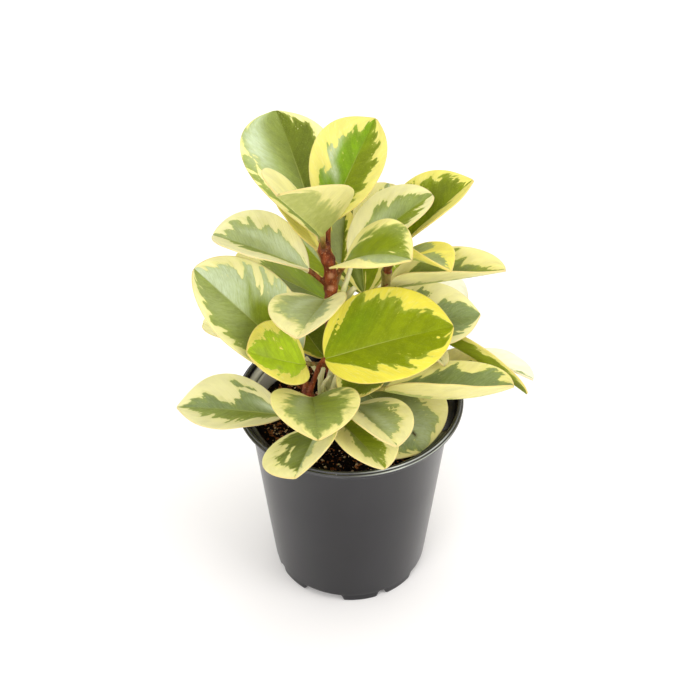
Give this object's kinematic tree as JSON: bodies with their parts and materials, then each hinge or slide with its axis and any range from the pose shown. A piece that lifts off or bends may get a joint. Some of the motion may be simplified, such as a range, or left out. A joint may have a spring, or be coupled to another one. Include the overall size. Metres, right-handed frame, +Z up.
{
  "type": "potted peperomia",
  "caption": "Potted peperomia: cream and green heart-shaped leaves on reddish stems, growing in a round plastic nursery pot with a rolled rim and a notched foot ring.",
  "frame": {"origin": "on the surface that the pot stands on, under the middle of the whole plant's box", "axes": "+Z up, the side that the picture shows faces -Y, +X is to the right in the picture"},
  "size_m": [0.1692, 0.1578, 0.2412],
  "materials": {
    "pot": "satin charcoal",
    "soil": "crumbly potting soil",
    "stem": "smooth reddish stem",
    "leaf": "waxy cream and green"
  },
  "bodies": {
    "root": {"pot": "pot", "soil": "soil", "stem_main": "stem", "stem_front_left": "stem", "stem_front_right": "stem", "stem_right": "stem", "stem_low_right": "stem", "stem_back_left": "stem", "stem_back": "stem", "leaf_01": "leaf", "leaf_02": "leaf", "leaf_03": "leaf", "leaf_04": "leaf", "leaf_05": "leaf", "leaf_06": "leaf", "leaf_07": "leaf", "leaf_08": "leaf", "leaf_09": "leaf", "leaf_10": "leaf", "leaf_11": "leaf", "leaf_12": "leaf", "leaf_13": "leaf", "leaf_14": "leaf", "leaf_15": "leaf", "leaf_16": "leaf", "leaf_17": "leaf", "leaf_18": "leaf", "leaf_19": "leaf", "leaf_20": "leaf", "leaf_21": "leaf", "leaf_22": "leaf", "leaf_23": "leaf", "leaf_24": "leaf", "leaf_25": "leaf", "leaf_26": "leaf", "leaf_27": "leaf", "leaf_28": "leaf", "leaf_29": "leaf", "leaf_30": "leaf", "leaf_31": "leaf", "leaf_32": "leaf", "leaf_33": "leaf", "leaf_34": "leaf", "leaf_35": "leaf", "leaf_36": "leaf", "leaf_37": "leaf", "leaf_38": "leaf", "leaf_39": "leaf", "leaf_40": "leaf"}
  },
  "joints": []
}
